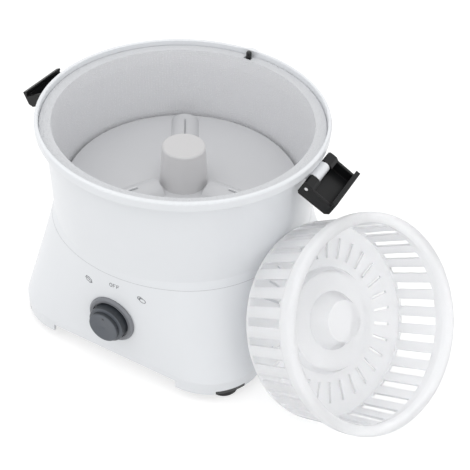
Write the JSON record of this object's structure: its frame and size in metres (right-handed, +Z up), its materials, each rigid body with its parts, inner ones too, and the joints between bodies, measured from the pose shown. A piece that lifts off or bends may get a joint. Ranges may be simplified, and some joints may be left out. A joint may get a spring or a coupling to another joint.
{
  "type": "electric potato peeler",
  "caption": "Table-top electric potato peeler: round well with spinning peeling disc and centre column, control knob, two lid latches, and a slotted salad basket beside it.",
  "frame": {"origin": "on the bowl's vertical axis, level with the soles of the feet", "axes": "+Z up along the bowl axis, -Y towards the control knob, latches at +X and -X"},
  "size_m": [0.4036, 0.251, 0.197],
  "materials": {
    "white_casing": "satin moulded",
    "grey_base": "moulded",
    "rubber_feet": "matt",
    "zinc_screws": "plated",
    "clear_bowl": "translucent, pimpled inside",
    "disc_plastic": "satin",
    "blade_steel": "ground",
    "column_plastic": "satin",
    "shaft_steel": "turned",
    "cast_alloy": "cast",
    "bearing_steel": "ground",
    "rubber_seal": "matt",
    "pulley_plastic": "moulded",
    "rubber_belt": "matt",
    "plated_sheet": "zinc plated",
    "magnet_dark": "sintered",
    "copper_rotor": "wound",
    "bezel_plastic": "moulded",
    "knob_plastic": "fine grain",
    "switch_plastic": "moulded",
    "rubber_inlet": "matt",
    "board_green": "coated",
    "latch_plastic": "satin",
    "pin_plastic": "satin",
    "basket_plastic": "translucent gloss"
  },
  "bodies": {
    "housing": {"upper_casing": "white_casing", "lower_casing": "white_casing", "bottom_plate": "grey_base", "foot_front_left": "rubber_feet", "foot_front_right": "rubber_feet", "foot_rear_left": "rubber_feet", "foot_rear_right": "rubber_feet", "foot_screws": "zinc_screws", "spindle_housing": "cast_alloy", "lower_bearing": "bearing_steel", "upper_bearing": "bearing_steel", "shaft_seal": "rubber_seal", "drive_belt": "rubber_belt", "motor_chassis": "plated_sheet", "motor_can": "plated_sheet", "motor_magnets": "magnet_dark", "motor_end_cap": "switch_plastic", "knob_bezel": "bezel_plastic", "rotary_switch": "switch_plastic", "cord_inlet": "rubber_inlet", "terminal_block": "switch_plastic", "control_board": "board_green", "hinge_pin_right": "shaft_steel", "hinge_pin_left": "shaft_steel", "microswitch": "switch_plastic", "interlock_bracket": "plated_sheet", "pin_spring": "shaft_steel"},
    "bowl": {"peeling_bowl": "clear_bowl"},
    "disc": {"peeling_disc": "disc_plastic", "disc_blades": "blade_steel", "centre_column": "column_plastic"},
    "spindle": {"drive_spindle": "shaft_steel", "drive_dog": "shaft_steel", "driven_pulley": "pulley_plastic"},
    "rotor": {"motor_rotor": "copper_rotor", "motor_pulley": "pulley_plastic"},
    "knob": {"control_knob": "knob_plastic", "knob_shaft": "shaft_steel"},
    "latch_r": {"latch_right": "latch_plastic"},
    "latch_l": {"latch_left": "latch_plastic"},
    "pin": {"interlock_pin": "pin_plastic"},
    "basket": {"salad_basket": "basket_plastic"}
  },
  "joints": [
    {"name": "bowl_lift", "type": "slide", "parent": "housing", "child": "bowl", "axis": [0, 0, 1], "range_m": [0, 0.12]},
    {"name": "spindle_spin", "type": "hinge", "parent": "housing", "child": "spindle", "pos_m": [0, 0, 0.09], "axis": [0, 0, 1], "continuous": true},
    {"name": "disc_spin", "type": "hinge", "parent": "bowl", "child": "disc", "pos_m": [0, 0, 0.125], "axis": [0, 0, 1], "continuous": true},
    {"name": "rotor_spin", "type": "hinge", "parent": "housing", "child": "rotor", "pos_m": [0.05, 0.046, 0.07], "axis": [0, 0, 1], "continuous": true},
    {"name": "knob_turn", "type": "hinge", "parent": "housing", "child": "knob", "pos_m": [0, -0.11326, 0.056], "axis": [0, -0.9987, 0.0511], "range_deg": [-45, 45]},
    {"name": "latch_right_close", "type": "hinge", "parent": "housing", "child": "latch_r", "pos_m": [0.121, 0, 0.181], "axis": [0, -1, 0], "range_deg": [0, 115]},
    {"name": "latch_left_close", "type": "hinge", "parent": "housing", "child": "latch_l", "pos_m": [-0.121, 0, 0.181], "axis": [0, 1, 0], "range_deg": [0, 115]},
    {"name": "interlock_press", "type": "slide", "parent": "housing", "child": "pin", "axis": [0, 0, -1], "range_m": [0, 0.004], "stiffness_N_per_m": 400, "deforming": ["pin_spring"]},
    {"name": "basket_away", "type": "slide", "parent": "housing", "child": "basket", "axis": [0.7602, -0.2767, 0.5878], "range_m": [0, 0.15]}
  ],
  "couplings": [
    {"joint": "disc_spin", "follows": "spindle_spin", "ratio": 1},
    {"joint": "rotor_spin", "follows": "spindle_spin", "ratio": 5.5}
  ]
}
